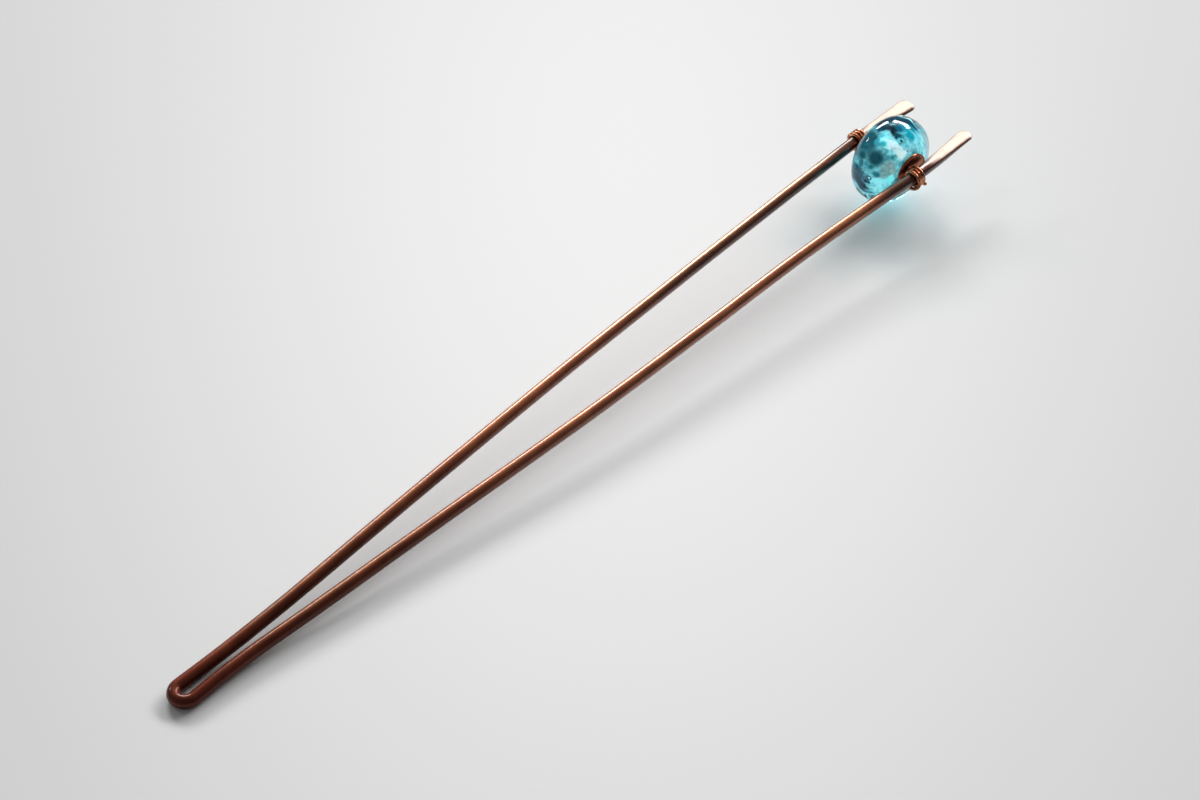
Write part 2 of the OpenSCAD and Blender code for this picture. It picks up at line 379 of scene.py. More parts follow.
def makeDarkenedCopper():
    # the colour goes from dark to worn along the fork, then by the wire's own attributes to golden, to the
    # dark colour of the painted shade, and bright; roughness and oxide follow the same places
    look = forkWireLook
    material, tree, shader = newMaterial("darkenedDrawnCopper", {
        "Metallic": 1.0,
        "Coat Roughness": 0.1,
        "Coat IOR": 1.6,
    })
    place = addNode(tree, "ShaderNodeTexCoord").outputs["Object"]
    run = addNode(tree, "ShaderNodeSeparateXYZ", {0: place}).outputs["X"]
    along = addNode(tree, "ShaderNodeAttribute", attribute_name="wirePlace").outputs["Vector"]
    polish, golden, paintedShade = [
        addNode(tree, "ShaderNodeAttribute", attribute_name=name).outputs["Fac"]
        for name in ("polish", "golden", "paintedShade")
    ]
    patches = addNode(tree, "ShaderNodeTexNoise", {
        "Vector": place, "Scale": 1000 / look["patchSize"], "Detail": 4.0, "Roughness": 0.6,
    }).outputs["Fac"]
    lineMap = addNode(tree, "ShaderNodeMapping", {
        "Vector": along,
        "Scale": (1000 / look["lineSpacing"], 1000 / look["lineSpacing"], 1000 / look["lineLength"]),
    }).outputs["Vector"]
    lines = addNode(tree, "ShaderNodeTexNoise", {
        "Vector": lineMap, "Scale": 1.0, "Detail": 2.0,
    }).outputs["Fac"]
    grain = addNode(tree, "ShaderNodeTexNoise", {
        "Vector": place, "Scale": 1000 / look["grainSize"], "Detail": 3.0,
    }).outputs["Fac"]
    dark, worn, bright = [
        addNode(tree, "ShaderNodeValToRGB", {"Fac": patches}, stops=look[colours]).outputs["Color"]
        for colours in ("darkColours", "wornColours", "brightColours")
    ]
    handled = addNode(tree, "ShaderNodeMapRange", {
        "Value": run, "From Min": look["worn"][0] * mm, "From Max": look["worn"][1] * mm,
    }, interpolation_type="SMOOTHSTEP").outputs["Result"]
    colour = dark
    for cover, over in [
        (handled, worn),
        (golden, linearColour(look["goldenColour"])),
        (paintedShade, linearColour(look["paintedShadeColour"])),
        (polish, bright),
    ]:
        colour = addNode(tree, "ShaderNodeMix", {
            "Factor": cover, 6: colour, 7: over,
        }, data_type="RGBA").outputs[2]
    tree.links.new(colour, shader.inputs["Base Color"])

    smooth, rough = look["dullness"]
    dull = addNode(tree, "ShaderNodeMapRange", {
        "Value": grain, "From Min": 0.3, "From Max": 0.7, "To Min": smooth, "To Max": rough,
    }).outputs["Result"]
    # duller by the fold, where nothing was rubbed
    begin, end, most = look["unrubbed"]
    unrubbed = addNode(tree, "ShaderNodeMapRange", {
        "Value": run, "From Min": begin * mm, "From Max": end * mm, "To Min": most, "To Max": 0.0,
    }, interpolation_type="SMOOTHSTEP").outputs["Result"]
    dull = addNode(tree, "ShaderNodeMath", {0: dull, 1: unrubbed}, operation="ADD").outputs[0]
    roughness = addNode(tree, "ShaderNodeMix", {
        "Factor": polish, 2: dull, 3: look["brightDullness"],
    }).outputs[0]
    tree.links.new(roughness, shader.inputs["Roughness"])

    # the glassy oxide is thin by the fold, and ends where the copper was rubbed bright
    begin, end, least = look["oxide"]
    oxide = addNode(tree, "ShaderNodeMapRange", {
        "Value": run, "From Min": begin * mm, "From Max": end * mm, "To Min": least, "To Max": 1.0,
    }, interpolation_type="SMOOTHSTEP").outputs["Result"]
    bare = addNode(tree, "ShaderNodeMath", {0: 1.0, 1: polish}, operation="SUBTRACT").outputs[0]
    oxide = addNode(tree, "ShaderNodeMath", {0: oxide, 1: bare}, operation="MULTIPLY").outputs[0]
    tree.links.new(oxide, shader.inputs["Coat Weight"])

    lineBump = addNode(tree, "ShaderNodeBump", {
        "Height": lines, "Strength": look["lineBump"], "Distance": look["bumpHeight"] * mm,
    }).outputs["Normal"]
    grainBump = addNode(tree, "ShaderNodeBump", {
        "Height": grain,
        "Strength": look["grainBump"],
        "Distance": look["bumpHeight"] * mm,
        "Normal": lineBump,
    }).outputs["Normal"]
    tree.links.new(grainBump, shader.inputs["Normal"])
    return material


def makeStainedCopper(name, look, surface):
    # copper whose colour drifts with a soft noise, stainSize millimetres from patch to patch
    material, tree, shader = newMaterial(name, {"Metallic": 1.0, **surface})
    place = addNode(tree, "ShaderNodeTexCoord").outputs["Object"]
    stain = addNode(tree, "ShaderNodeTexNoise", {
        "Vector": place, "Scale": 1000 / look["stainSize"], "Detail": look["detail"],
    }).outputs["Fac"]
    colour = addNode(tree, "ShaderNodeValToRGB", {"Fac": stain}, stops=look["colours"]).outputs["Color"]
    tree.links.new(colour, shader.inputs["Base Color"])
    return material


def lampsThrough(tree, shader, tint):
    # lets the lamps' light straight through, tinted, so that what is inside and behind is lit
    lampRay = addNode(tree, "ShaderNodeLightPath").outputs["Is Shadow Ray"]
    through = addNode(tree, "ShaderNodeBsdfTransparent", {"Color": tint}).outputs[0]
    both = addNode(tree, "ShaderNodeMixShader", {0: lampRay, 1: shader.outputs[0], 2: through}).outputs[0]
    output = next(n for n in tree.nodes if n.type == "OUTPUT_MATERIAL")
    tree.links.new(both, output.inputs["Surface"])


darkenedCopper = makeDarkenedCopper()

# Thin drawn copper wire, hardly oxidised: pale orange-pink, with a bright shine.
bindingWireLook = {
    "stainSize": 1.6,
    "detail": 3.0,
    "colours": [(0.3, "#7c3e26"), (0.5, "#b87450"), (0.7, "#e8b292")],
}
brightCopper = makeStainedCopper("brightBindingCopper", bindingWireLook, {"Roughness": 0.18})

# Stamped copper disc with an antique finish: red-brown, stained in soft patches, with a thin glassy oxide.
capLook = {
    "stainSize": 1.8,
    "detail": 4.0,
    "colours": [(0.3, "#6c2e1a"), (0.5, "#9a5032"), (0.7, "#c07a54")],
}
antiqueCopper = makeStainedCopper("antiqueStampedCopper", capLook, {
    "Roughness": 0.26,
    "Coat Weight": 0.2,
    "Coat Roughness": 0.15,
})

# Clear soda-lime glass, fire polished at the torch: smooth and bright, and faintly blue where it is thick.
clearGlass, tree, shader = newMaterial("clearSodaGlass", {
    "Base Color": linearColour("#9ccfda"),
    "Transmission Weight": 1.0,
    "Roughness": 0.0,
    "IOR": 1.51,
})
lampsThrough(tree, shader, linearColour("#ccdee0"))
print("floor and materials made")


# fork wire: one wire, folded in two, with hammered ends

paddle = {
    "length": 13.4,
    "backWidth": 3.3,
    "frontWidth": 2.75,
    "thickness": 0.6,
    "corner": 1.1,
    "squareness": 3.2,  # the power of its section's squared ellipse
    "squareRate": 3,  # how much sooner the section turns square than the paddle reaches its end
    "widthPower": 1.4,
    "heightPower": 0.7,
    "lift": 0.15,
    "edge": 0.22,  # rounding of the end's edge
    "edgeFlat": 0.8,  # 1 would bring the end down to a sharp edge
    "strikes": 16,  # hammer marks on each paddle
    "strikeRadius": 1.5,
    "strikeDepth": 0.02,
    "strikeSpread": 1.2,  # how far they fall to either side of the middle
    "frontBare": 3.0,  # how far along the paddle the oxide ends and bright copper starts
    "backBare": 2.0,
    "rubbed": (0.35, 0.75),  # the bright upper face ends between these heights, from 0 to 1
    "farSide": 0.35,  # how much further down the brightness reaches on the far side
    "bareOver": 2.0,  # half of the stretch over which the oxide ends
}
# where a cloth rubbed the oxide thin, and where shade is painted dark; places are in mm from the fold
rubbingAndShade = {
    "nearSide": 160.0,  # degrees round the wire from its far side, over the top
    "leeEdge": (0.2, 0.8),  # the painted shade deepens between these, where 1 is the middle of the near side
    "belowEdge": (-0.75, 0.0),  # and between these depths below the wire's middle, in mm
    "handled": (85, 112),
    "fromFold": (2, 25),
    "backByBead": (138, 150),
    "frontByBead": (138, 148),
    # painted shade, from 0 to 1: by the bead, at the paddles' edges, underneath, and on the near side
    "byBeadShade": 0.9,
    "edgeShade": 0.9,
    "belowShade": 0.45,
    "foldLee": 0.5,
    "backLee": 0.85,
    "frontLee": 0.3,
    # golden tone of the rubbed side, from 0 to 1
    "foldGolden": 0.2,
    "backGolden": 0.7,
    "frontGolden": 0.3,
}
wireMesh = {
    "sides": 44,
    "roundRings": 430,
    "paddleRings": 80,
    "tipRings": 26,
    "foldRings": 61,
    "uneven": 0.012,  # of the wire's radius
    "unevenLength": 14,  # millimetres
    "unevenTurn": 1.5,  # millimetres along count as much as so many radians round
}


def legStations(side):
    # distances from the fold outwards, closer together in the paddle
    end = fork["backLength"] if side == backSide else fork["frontLength"]
    start = end - paddle["length"]
    roundPart = np.linspace(fork["foldRadius"] + 0.2, start, wireMesh["roundRings"], endpoint=False)
    flat = np.linspace(start, end - paddle["corner"], wireMesh["paddleRings"], endpoint=False)
    fall = np.radians(np.linspace(0, 88, wireMesh["tipRings"]))
    tip = end - paddle["corner"] * (1 - np.sin(fall))
    return np.concatenate([roundPart, flat, tip]), end


def legSection(u, end, fullWidth):
    # width grows and height falls with a power each of the way along the paddle; a quarter circle takes
    # the corners off the width, and a flatter one rounds the height at the very end
    k = np.clip(1 - (end - u) / paddle["length"], 0, 1)
    fromEnd = end - u
    inCorner = np.clip(1 - fromEnd / paddle["corner"], 0, 1)
    cut = paddle["corner"] * (1 - np.sqrt(1 - inCorner**2))
    width = fork["wire"] + (fullWidth - fork["wire"]) * k ** paddle["widthPower"] - 2 * cut
    height = fork["wire"] + (paddle["thickness"] - fork["wire"]) * k ** paddle["heightPower"]
    inEdge = np.clip(1 - fromEnd / paddle["edge"], 0, 1)
    height = height * np.sqrt(np.clip(1 - paddle["edgeFlat"] * inEdge**2, 0, 1))
    squareness = 2 + (paddle["squareness"] - 2) * np.minimum(1, paddle["squareRate"] * k)
    return width, height, squareness, paddle["lift"] * k


def hammerMarks(u, across, end, seedNumber):
    # shallow round dishes where the hammer fell: each is its depth times 1 - (distance / radius) squared,
    # and a point takes the deepest
    rng = np.random.default_rng(seedNumber)
    at = end - rng.uniform(0.3, paddle["length"] - 2, paddle["strikes"])
    side = rng.uniform(-paddle["strikeSpread"], paddle["strikeSpread"], paddle["strikes"])
    radius = paddle["strikeRadius"] * rng.uniform(0.7, 1.2, paddle["strikes"])
    away = (u[..., None] - at) ** 2 + (across[..., None] - side) ** 2
    return (paddle["strikeDepth"] * np.clip(1 - away / radius**2, 0, 1)).max(-1)


def wireFinishAndShade(side, u, end, across, up, width, height):
    # how bright, how golden and how deep in painted shade each point is, from 0 to 1
    name = "back" if side == backSide else "front"
    bare = end - paddle["length"] + paddle[name + "Bare"]
    # the paddles are polished bright where the height, raised a little towards the far side, passes the
    # rubbed edge; below it their sides stay in painted shade
    onTop = up / (height[:, None] / 2) + paddle["farSide"] * across / (width[:, None] / 2)
    onTop = smoothStep(onTop, *paddle["rubbed"])
    inPaddle = smoothStep(u, bare - paddle["bareOver"], bare + paddle["bareOver"])
    # how far round from the top towards the near side: a cosine with that side's direction
    near = math.radians(rubbingAndShade["nearSide"])
    facing = (across * math.cos(near) + up * math.sin(near)) / (fork["wire"] / 2)
    lee = smoothStep(facing, *rubbingAndShade["leeEdge"])
    below = smoothStep(-up, *rubbingAndShade["belowEdge"])
    byBead = smoothStep(u, *rubbingAndShade[name + "ByBead"])
    fromFold = smoothStep(u, *rubbingAndShade["fromFold"])
    # these two go from the fold's value to the prong's own
    handled = smoothStep(u, *rubbingAndShade["handled"])
    golden = rubbingAndShade["foldGolden"] + (rubbingAndShade[name + "Golden"] - rubbingAndShade["foldGolden"]) * handled
    nearShade = rubbingAndShade["foldLee"] + (rubbingAndShade[name + "Lee"] - rubbingAndShade["foldLee"]) * handled
    # the deepest painted shade wins: by the bead, at a paddle's edges, underneath, or on the near side
    paintedShade = np.maximum.reduce([
        rubbingAndShade["byBeadShade"] * byBead,
        rubbingAndShade["edgeShade"] * inPaddle,
        rubbingAndShade["belowShade"] * below * fromFold,
        nearShade * lee * fromFold,
    ])
    return {"polish": inPaddle * onTop, "golden": golden * (1 - lee) * fromFold, "paintedShade": paintedShade}


def wireHalf(side):
    # rings of one leg: a squared ellipse at each station, square to the leg's own heading
    u, end = legStations(side)
    fullWidth = paddle["backWidth" if side == backSide else "frontWidth"]
    width, height, squareness, lift = legSection(u, end, fullWidth)
    heading = np.arctan((legY(u + 0.1, side) - legY(u - 0.1, side)) / 0.2)
    sides = wireMesh["sides"]
    angle = 2 * np.pi * (np.arange(sides) + 0.5) / sides
    power = 2 / squareness[:, None]
    c, s = np.cos(angle)[None], np.sin(angle)[None]
    across = width[:, None] / 2 * np.sign(c) * np.abs(c) ** power
    up = height[:, None] / 2 * np.sign(s) * np.abs(s) ** power
    uGrid = np.broadcast_to(u[:, None], across.shape)
    # drawn wire that was bent and rubbed by hand: a hundredth of a millimetre or two of unevenness
    around = wireMesh["unevenTurn"] * np.broadcast_to(angle[None], across.shape)
    uneven = 1 + wireMesh["uneven"] * ripple(uGrid, around, wireMesh["unevenLength"], seed + side)
    flatness = np.clip(1 - (end - uGrid) / paddle["length"], 0, 1)
    marks = hammerMarks(uGrid, across, end, seed + 10 * side) * smoothStep(flatness, 0.05, 0.5)
    up = up * uneven - np.where(up > 0, marks, 0)
    across = across * uneven
    # the back leg's rings run the other way round, because the wire comes back along it
    if side == backSide:
        across = -across
    points = np.stack([
        uGrid - across * np.sin(heading)[:, None],
        legY(u, side)[:, None] + across * np.cos(heading)[:, None],
        lift[:, None] + up,
    ], -1)
    return points, across, up, wireFinishAndShade(side, uGrid, end, across, up, width, height)


def makeForkWire():
    # back leg from its end to the fold, the fold, and the front leg out again, as one tube
    backPoints, backAcross, backUp, backFinish = wireHalf(backSide)
    frontPoints, frontAcross, frontUp, frontFinish = wireHalf(frontSide)
    # the fold: half a turn of the round wire, an ellipse in plan
    midY = (legRows[0, backSide] + legRows[0, frontSide]) / 2
    half = (legRows[0, backSide] - legRows[0, frontSide]) / 2
    sides, foldRings = wireMesh["sides"], wireMesh["foldRings"]
    a = np.radians(np.linspace(0, 180, foldRings))
    angle = 2 * np.pi * (np.arange(sides) + 0.5) / sides
    across = fork["wire"] / 2 * np.cos(angle)[None] * np.ones((foldRings, 1))
    up = fork["wire"] / 2 * np.sin(angle)[None] * np.ones((foldRings, 1))
    heading = np.pi + a[:, None]
    foldPoints = np.stack([
        fork["foldRadius"] * (1 - np.sin(a))[:, None] - across * np.sin(heading),
        midY + half * np.cos(a)[:, None] + across * np.cos(heading),
        up,
    ], -1)
    points = np.concatenate([backPoints[::-1], foldPoints, frontPoints])
    # place along the wire and round it, for patterns that follow the wire
    centre = points.mean(1)
    run = np.concatenate([[0], np.cumsum(np.linalg.norm(np.diff(centre, axis=0), axis=1))])
    acrossAll = np.concatenate([backAcross[::-1], across, frontAcross])
    upAll = np.concatenate([backUp[::-1], up, frontUp])
    wirePlace = np.stack([acrossAll, upAll, np.broadcast_to(run[:, None], acrossAll.shape)], -1) * mm
    plain = np.zeros((foldRings, sides))
    finish = {
        name: np.concatenate([backFinish[name][::-1], plain, frontFinish[name]]).ravel()
        for name in backFinish
    }
    return makePiece(
        "forkWire",
        layDown(points).reshape(-1, 3),
        tubeFaces(len(points), sides),
        darkenedCopper,
        ["prong_wire"],
        "aged_copper",
        {"wirePlace": wirePlace.reshape(-1, 3), **finish},
        sharp=50,
    )


makeForkWire()


# glass bead: a clear rondelle with a teal heart

bead = {
    "halfWidth": 4.55,
    "holeRadius": 1.3,
    "fullness": 2.4,  # the power of its squared ellipse
    "dipRadius": 3.4,  # both faces sink in round the hole
    "dipDepth": 0.7,
    "heartRadius": 5.0,
    "heartHalfWidth": 3.7,
    "heartHole": 1.8,
    "heartFullness": 2.2,
    "stops": 129,
    "sides": 160,
    "uneven": 0.004,  # of the radius, as for the heart below
    "heartStops": 81,
    "heartSides": 120,
    "heartUneven": 0.03,
    "unevenLength": 5,
    "holeStops": 12,
}


def rondelleProfile(radius, halfWidth, fullness, hole, stops):
    # a squared ellipse from one mouth of the hole round to the other, less a dip round each mouth that is
    # its depth times (1 - (r / its radius) squared) squared, then straight back through the hole
    mouth = math.acos((hole / radius) ** (fullness / 2))
    a = mouth * np.linspace(-1, 1, stops)
    r = radius * np.cos(a) ** (2 / fullness)
    full = halfWidth * (1 - np.clip(r / radius, 0, 1) ** fullness).clip(0) ** (1 / fullness)
    dip = bead["dipDepth"] * np.clip(1 - (r / bead["dipRadius"]) ** 2, 0, 1) ** 2
    along = np.sign(a) * (full - dip)
    inner = np.linspace(1, -1, bead["holeStops"] + 2)[1:-1]
    return (
        np.concatenate([r, np.full(bead["holeStops"], hole)]),
        np.concatenate([along, along[-1] * inner]),
    )


def turnedRing(name, r, along, sides, material, nodes, slot, shift=0.0, mirrored=1, uneven=0.0, **more):
    # turns a closed profile round the bead's hole; uneven is the height of soft waves in it, as a share of
    # the radius, as on glass that took its shape as it turned in the flame
    angle = 2 * np.pi * np.arange(sides) / sides
    acrossWave = 3 * np.cos(angle)[None] + r[:, None] / 3
    alongWave = 3 * np.sin(angle)[None] + along[:, None] / 4
    wave = 1 + uneven * ripple(acrossWave, alongWave, bead["unevenLength"], seed)
    radius = r[:, None] * wave
    points = onBead(
        radius * np.cos(angle) + shift,
        radius * np.sin(angle),
        mirrored * along[:, None] * np.ones((1, sides)),
    )
    faces = ringFaces(len(r), sides)
    if mirrored < 0:
        faces = faces[:, ::-1]
    return makePiece(name, points.reshape(-1, 3), faces.tolist(), material, nodes, slot, **more)


# Teal opal glass melted round the hole: milky, with round cells of deep teal in a pale web; over it a
# painted highlight band where the light comes through, and painted shade on the thin places that look dark.
heart = {
    "cellSize": 2.1,  # millimetres across one cell of colour
    "cellColours": [(0.15, "#19808b"), (0.3, "#3aa0aa"), (0.42, "#79c1c7"), (0.55, "#a5d9dc")],
    "veinSize": 0.8,  # between the pale veins
    "veinColour": "#cdeef0",
    "mottle": 0.5,  # millimetres
    "mottleRange": (0.7, 1.15),  # from the darkest to the palest, times the colour
    # strength of a painted glow of the heart's own, standing in for the light gathered by the clear glass
    "glow": 0.74,
    "throughColour": "#d0d8d8",  # of the lamps' light that goes through
    "warp": 1.2,  # how far the edges of the colours wander
    "grain": 0.6,  # millimetres, the size of what makes them wander
    # how gradually the edge of each kind fades, as a share of its radius
    "soft": {"colourLightShadeBlobs": 0.4, "cells": 0.45, "specks": 0.3},
    "cellStrength": 0.95,
    "ring": {"wider": 1.35, "soft": 0.35, "colour": "#b4dfe2", "strength": 0.3},
    # blobs: turn round the hole in degrees, place along it from -1 to 1, radius in millimetres, colour
    # the white and palest cyan balls are painted light, where the lamps' light comes through the clear glass;
    # the near-black ones along the top and the darker teal ones at turns 142-176 and 213-237 are painted
    # shade and dark reflection; the rest are the glass's own teal, milky and grey colours
    "colourLightShadeBlobs": [
        (237, 0.5, 1.5, "#1d5f69"), (213, 0.5, 1.2, "#247380"), (226, 0.3, 0.9, "#2c7d88"),
        (211, -0.63, 1.1, "#b8cac8"), (200, -0.72, 1.0, "#c4ccc8"), (190, -0.57, 0.9, "#b0c4c2"),
        (176, 0.42, 1.1, "#08788a"), (158, 0.4, 1.1, "#066074"), (150, 0.26, 0.9, "#065468"),
        (142, 0.3, 0.8, "#0a6274"), (141, 0.1, 0.4, "#9cdce2"), (173, -0.3, 0.8, "#c4f8fa"),
        (152, -0.26, 1.0, "#d0ffff"), (170, -0.5, 0.9, "#d0ffff"), (176, -0.75, 0.8, "#b8ffff"),
        (130, -0.1, 0.7, "#b8f4f8"), (253, 0.14, 0.5, "#88d4de"), (240, 0.12, 0.6, "#5cb8c2"),
        (249, -0.06, 0.6, "#dcffff"), (248, -0.22, 0.7, "#f4ffff"), (250, -0.38, 0.85, "#ffffff"),
        (251, -0.57, 0.85, "#ffffff"), (252, -0.75, 0.8, "#fffaf4"), (262, -0.72, 0.5, "#ffffff"),
        (236, -0.5, 0.6, "#c8f4f6"), (268, -0.6, 0.4, "#b4e4ea"), (280, 0.6, 1.1, "#083848"),
        (296, 0.55, 1.1, "#083848"), (312, 0.5, 1.1, "#083848"), (300, 0.28, 1.1, "#083848"),
        (316, 0.25, 1.0, "#083848"), (323, 0.08, 0.8, "#083848"), (264, 0.44, 0.6, "#0d5263"),
        (272, 0.3, 0.75, "#08384a"), (278, 0.1, 0.65, "#082a38"), (270, -0.03, 0.5, "#082a38"),
        (268, -0.22, 0.32, "#082a38"), (286, 0.0, 0.6, "#10607a"), (273, -0.2, 0.45, "#0c5a68"),
        (297, -0.03, 0.6, "#1c8694"), (310, -0.02, 0.6, "#1a8494"), (168, 0.03, 0.4, "#0f6a80"),
        (324, -0.2, 0.7, "#86c4cc"), (300, -0.66, 0.8, "#a8d8dc"), (281, -0.77, 0.6, "#b4dce2"),
        (296, -0.33, 0.9, "#139fac"),
    ],
    # cells that stand out, each in a pale ring
    "cells": [
        (216, -0.12, 1.1, "#11707c"), (208, 0.42, 0.6, "#17747f"), (195, 0.35, 0.5, "#238995"),
        (243, -0.08, 0.4, "#58d4d6"), (188, -0.32, 0.48, "#3b9aa2"), (232, -0.6, 0.36, "#46b4b8"),
        (198, -0.08, 0.34, "#3b9aa2"),
    ],
    # specks of soot and tiny bubbles; the palest ones are painted glints in the bubbles
    "specks": [
        (270, -0.41, 0.2, "#03090c"), (272, -0.76, 0.12, "#03090c"), (286, -0.8, 0.1, "#03090c"),
        (268, -0.56, 0.08, "#03090c"), (177, 0.38, 0.15, "#062c3a"), (178, 0.48, 0.14, "#062c3a"),
        (153, 0.16, 0.2, "#04202c"), (138, 0.1, 0.2, "#04202c"), (166, 0.1, 0.12, "#04202c"),
        (177, -0.07, 0.34, "#0c4a5c"), (177, -0.07, 0.17, "#d8ffff"), (150, -0.06, 0.13, "#04202c"),
        (156, 0.08, 0.11, "#d8ffff"), (147, 0.06, 0.1, "#d8ffff"),
    ],
}


def heartPoint(turn, along):
    # a place on the heart's skin, in metres: its squared ellipse gives the radius at a place along it
    power = bead["heartFullness"]
    radius = bead["heartRadius"] * (1 - abs(along) ** power) ** (1 / power)
    turn = math.radians(turn)
    along = np.array(along * bead["heartHalfWidth"])
    return onBead(radius * math.cos(turn), radius * math.sin(turn), along)


def paintBall(tree, colour, at, spot, soft, wider=1.0, over=None, strength=1.0):
    # lays a colour over all that is nearer to a spot of the heart's skin than its radius, with a soft edge
    turn, along, radius, spotColour = spot
    radius = radius * wider
    centre = tuple(heartPoint(turn, along).tolist())
    away = addNode(tree, "ShaderNodeVectorMath", {0: at, 1: centre}, operation="DISTANCE").outputs["Value"]
    cover = addNode(tree, "ShaderNodeMapRange", {
        "Value": away,
        "From Min": radius * (1 - soft) * mm,
        "From Max": radius * (1 + soft) * mm,
        "To Min": strength,
        "To Max": 0.0,
    }, interpolation_type="SMOOTHSTEP").outputs["Result"]
    return addNode(tree, "ShaderNodeMix", {
        "Factor": cover, 6: colour, 7: linearColour(over or spotColour),
    }, data_type="RGBA").outputs[2]


def makeOpalGlass():
    # a web of cells and pale veins, then balls of colour, painted light and painted shade at their places,
    # then a fine mottle over it all
    material, tree, shader = newMaterial("tealOpalGlass", {
        "Roughness": 0.3,
        "IOR": 1.0,
        "Specular IOR Level": 0.0,
        "Subsurface Weight": 0.8,
        "Subsurface Radius": (0.8, 1.4, 1.5),
        "Subsurface Scale": 0.45 * mm,
        "Emission Strength": heart["glow"],
    })
    place = addNode(tree, "ShaderNodeTexCoord").outputs["Object"]
    drift = addNode(tree, "ShaderNodeTexNoise", {
        "Vector": place, "Scale": 1000 / heart["grain"], "Detail": 5.0, "Roughness": 0.65,
    }).outputs["Color"]
    centred = addNode(tree, "ShaderNodeVectorMath", {
        0: drift, 1: (0.5,) * 3,
    }, operation="SUBTRACT").outputs[0]
    moved, softly = [
        addNode(tree, "ShaderNodeVectorMath", {
            0: centred, 1: (amount * mm,) * 3, 2: place,
        }, operation="MULTIPLY_ADD").outputs[0]
        for amount in (heart["warp"], heart["warp"] / 4)
    ]
    cells = addNode(tree, "ShaderNodeTexVoronoi", {
        "Vector": moved, "Scale": 1000 / heart["cellSize"], "Randomness": 0.8,
    }).outputs["Distance"]
    colour = addNode(tree, "ShaderNodeValToRGB", {
        "Fac": cells,
    }, stops=heart["cellColours"]).outputs["Color"]
    veins = addNode(tree, "ShaderNodeTexVoronoi", {
        "Vector": moved, "Scale": 1000 / heart["veinSize"],
    }, feature="DISTANCE_TO_EDGE").outputs["Distance"]
    pale = addNode(tree, "ShaderNodeMapRange", {
        "Value": veins, "From Min": 0.0, "From Max": 0.2, "To Min": 0.4, "To Max": 0.0,
    }).outputs["Result"]
    colour = addNode(tree, "ShaderNodeMix", {
        "Factor": pale, 6: colour, 7: linearColour(heart["veinColour"]),
    }, data_type="RGBA").outputs[2]

    soft, ring = heart["soft"], heart["ring"]
    for blob in heart["colourLightShadeBlobs"]:
        colour = paintBall(tree, colour, moved, blob, soft["colourLightShadeBlobs"])
    for cell in heart["cells"]:
        colour = paintBall(
            tree, colour, softly, cell, ring["soft"], ring["wider"], ring["colour"], ring["strength"]
        )
        colour = paintBall(tree, colour, softly, cell, soft["cells"], strength=heart["cellStrength"])
    for speck in heart["specks"]:
        colour = paintBall(tree, colour, place, speck, soft["specks"])

    mottle = addNode(tree, "ShaderNodeTexNoise", {
        "Vector": place, "Scale": 1000 / heart["mottle"], "Detail": 4.0, "Roughness": 0.6,
    }).outputs["Fac"]
    darkest, palest = heart["mottleRange"]
    uneven = addNode(tree, "ShaderNodeMapRange", {
        "Value": mottle, "From Min": 0.3, "From Max": 0.7, "To Min": darkest, "To Max": palest,
    }).outputs["Result"]
    colour = addNode(tree, "ShaderNodeVectorMath", {
        0: colour, "Scale": uneven,
    }, operation="SCALE").outputs[0]
    tree.links.new(colour, shader.inputs["Base Color"])
    # a painted glow: the milky places glow a little and the dark ones hardly at all, standing in for the
    # light that the clear glass gathers
    glow = addNode(tree, "ShaderNodeVectorMath", {
        0: colour, 1: colour,
    }, operation="MULTIPLY").outputs[0]
    tree.links.new(glow, shader.inputs["Emission Color"])
    lampsThrough(tree, shader, linearColour(heart["throughColour"]))
    return material


r, along = rondelleProfile(
    fork["beadRadius"], bead["halfWidth"], bead["fullness"], bead["holeRadius"], bead["stops"]
)
turnedRing(
    "beadGlass", r, along, bead["sides"], clearGlass, ["glass_bead"], "bead_glass",
    uneven=bead["uneven"],
)
r, along = rondelleProfile(
    bead["heartRadius"], bead["heartHalfWidth"], bead["heartFullness"], bead["heartHole"],
    bead["heartStops"],
)
turnedRing(
    "beadHeart", r, along, bead["heartSides"], makeOpalGlass(), [], "bead_glass",
    uneven=bead["heartUneven"],
)


# bead caps

cap = {
    "radius": 3.3,
    "hole": 0.6,
    "thickness": 0.3,
    "rim": 0.23,  # radius of the rolled rim
    "rimFrom": 155,  # degrees round the rim where the dome's upper and lower faces meet it
    "rimTo": -115,
    "rise": 0.17,
    "domeFoot": 0.4,  # height of the dome's edge over the rim's middle, as a share of the rim
    "gap": 0.05,  # to the bead
    "frontShift": 0.1,
    "domeStops": 20,
    "sides": 112,
}


def beadFace(radius):
    # how far the bead's face stands out at a radius: its squared ellipse less the dip round the hole
    power = bead["fullness"]
    full = bead["halfWidth"] * (1 - (radius / fork["beadRadius"]) ** power) ** (1 / power)
    return full - bead["dipDepth"] * max(0, 1 - (radius / bead["dipRadius"]) ** 2) ** 2


